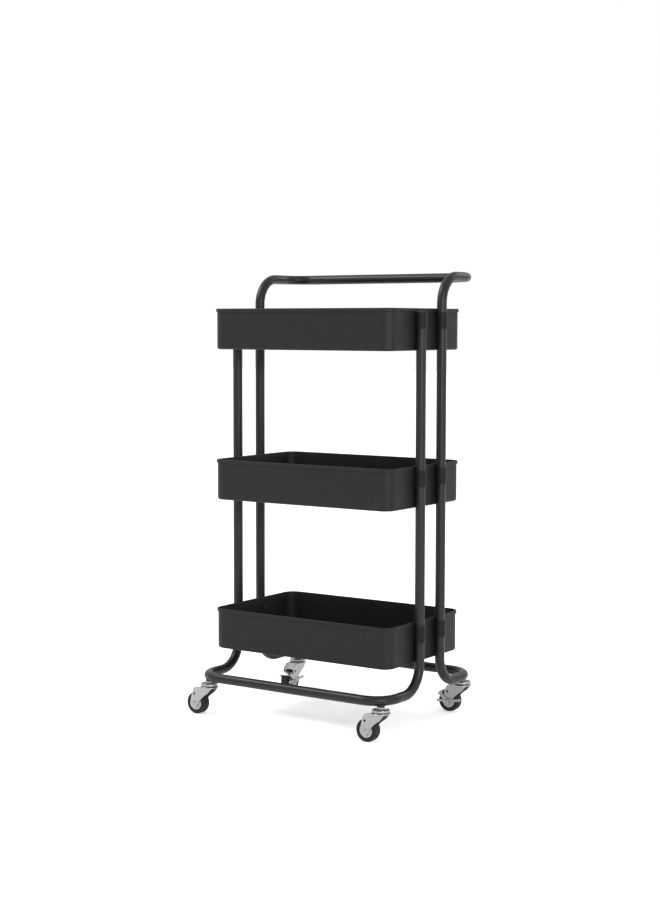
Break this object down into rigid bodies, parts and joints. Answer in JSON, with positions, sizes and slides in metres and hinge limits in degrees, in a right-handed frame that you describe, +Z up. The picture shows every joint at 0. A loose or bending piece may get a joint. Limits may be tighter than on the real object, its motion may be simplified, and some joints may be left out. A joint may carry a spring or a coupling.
{
  "type": "rolling utility cart",
  "caption": "Tall narrow kitchen trolley: solid-sided rounded trays on paired tube uprights, bent tube base on swivel casters, rear push handle.",
  "frame": {"origin": "on the floor, midway between the caster stems", "axes": "+Z up; -Y is the front, where the trays are reached; +Y is the side of the push handle; X runs along the trays"},
  "size_m": [0.4568, 0.334, 0.836],
  "materials": {
    "charcoal_powder_coat": "satin powder coat",
    "tube_powder_coat": "satin powder coat",
    "black_screw": "black oxide",
    "black_plastic": "moulded, fine texture",
    "zinc_plate": "bright zinc plate on pressed steel",
    "bearing_steel": "polished",
    "grey_hub_plastic": "moulded, semi-gloss",
    "black_rubber": "matt moulded rubber"
  },
  "bodies": {
    "root": {"tray_bottom": "charcoal_powder_coat", "tray_middle": "charcoal_powder_coat", "tray_top": "charcoal_powder_coat", "sockets_bottom": "charcoal_powder_coat", "sockets_middle": "charcoal_powder_coat", "sockets_top": "charcoal_powder_coat", "tray_screws_bottom": "black_screw", "tray_screws_middle": "black_screw", "tray_screws_top": "black_screw", "base_tube_front": "tube_powder_coat", "base_tube_back": "tube_powder_coat", "upright_lower_front_left": "tube_powder_coat", "upright_upper_front_left": "tube_powder_coat", "upright_lower_front_right": "tube_powder_coat", "upright_upper_front_right": "tube_powder_coat", "upright_lower_back_left": "tube_powder_coat", "upright_upper_back_left": "tube_powder_coat", "upright_lower_back_right": "tube_powder_coat", "upright_upper_back_right": "tube_powder_coat", "handle_tube": "tube_powder_coat", "tube_connectors_bottom": "black_plastic", "tube_connectors_middle": "black_plastic", "handle_connectors": "black_plastic", "front_end_plugs": "black_plastic", "caster_weld_bosses": "tube_powder_coat", "caster_front_left_stem": "zinc_plate", "caster_front_left_race_plate": "zinc_plate", "caster_front_left_balls": "bearing_steel", "caster_front_right_stem": "zinc_plate", "caster_front_right_race_plate": "zinc_plate", "caster_front_right_balls": "bearing_steel", "caster_back_left_stem": "zinc_plate", "caster_back_left_race_plate": "zinc_plate", "caster_back_left_balls": "bearing_steel", "caster_back_right_stem": "zinc_plate", "caster_back_right_race_plate": "zinc_plate", "caster_back_right_balls": "bearing_steel"},
    "caster_front_left_swivel": {"caster_front_left_fork": "zinc_plate", "caster_front_left_axle": "zinc_plate"},
    "caster_front_left_wheel": {"caster_front_left_wheel_hub": "grey_hub_plastic", "caster_front_left_tyre": "black_rubber"},
    "caster_front_right_swivel": {"caster_front_right_fork": "zinc_plate", "caster_front_right_axle": "zinc_plate"},
    "caster_front_right_wheel": {"caster_front_right_wheel_hub": "grey_hub_plastic", "caster_front_right_tyre": "black_rubber"},
    "caster_back_left_swivel": {"caster_back_left_fork": "zinc_plate", "caster_back_left_axle": "zinc_plate"},
    "caster_back_left_wheel": {"caster_back_left_wheel_hub": "grey_hub_plastic", "caster_back_left_tyre": "black_rubber"},
    "caster_back_left_brake": {"caster_back_left_brake_lever": "zinc_plate"},
    "caster_back_right_swivel": {"caster_back_right_fork": "zinc_plate", "caster_back_right_axle": "zinc_plate"},
    "caster_back_right_wheel": {"caster_back_right_wheel_hub": "grey_hub_plastic", "caster_back_right_tyre": "black_rubber"},
    "caster_back_right_brake": {"caster_back_right_brake_lever": "zinc_plate"}
  },
  "joints": [
    {"name": "caster_front_left_swivel_turn", "type": "hinge", "parent": "root", "child": "caster_front_left_swivel", "pos_m": [-0.19282, -0.14482, 0.0554], "axis": [0, 0, 1], "continuous": true},
    {"name": "caster_front_left_wheel_spin", "type": "hinge", "parent": "caster_front_left_swivel", "child": "caster_front_left_wheel", "pos_m": [-0.21932, -0.14482, 0.021], "axis": [0, 1, 0], "continuous": true},
    {"name": "caster_front_right_swivel_turn", "type": "hinge", "parent": "root", "child": "caster_front_right_swivel", "pos_m": [0.19282, -0.14482, 0.0554], "axis": [0, 0, 1], "continuous": true},
    {"name": "caster_front_right_wheel_spin", "type": "hinge", "parent": "caster_front_right_swivel", "child": "caster_front_right_wheel", "pos_m": [0.16632, -0.14482, 0.021], "axis": [0, 1, 0], "continuous": true},
    {"name": "caster_back_left_swivel_turn", "type": "hinge", "parent": "root", "child": "caster_back_left_swivel", "pos_m": [-0.19282, 0.14482, 0.0554], "axis": [0, 0, 1], "continuous": true},
    {"name": "caster_back_left_wheel_spin", "type": "hinge", "parent": "caster_back_left_swivel", "child": "caster_back_left_wheel", "pos_m": [-0.19282, 0.11832, 0.021], "axis": [-1, 0, 0], "continuous": true},
    {"name": "caster_back_left_brake_press", "type": "hinge", "parent": "caster_back_left_swivel", "child": "caster_back_left_brake", "pos_m": [-0.19282, 0.11832, 0.021], "axis": [-1, 0, 0], "range_deg": [0, 20]},
    {"name": "caster_back_right_swivel_turn", "type": "hinge", "parent": "root", "child": "caster_back_right_swivel", "pos_m": [0.19282, 0.14482, 0.0554], "axis": [0, 0, 1], "continuous": true},
    {"name": "caster_back_right_wheel_spin", "type": "hinge", "parent": "caster_back_right_swivel", "child": "caster_back_right_wheel", "pos_m": [0.16632, 0.14482, 0.021], "axis": [0, 1, 0], "continuous": true},
    {"name": "caster_back_right_brake_press", "type": "hinge", "parent": "caster_back_right_swivel", "child": "caster_back_right_brake", "pos_m": [0.16632, 0.14482, 0.021], "axis": [0, 1, 0], "range_deg": [0, 20]}
  ]
}
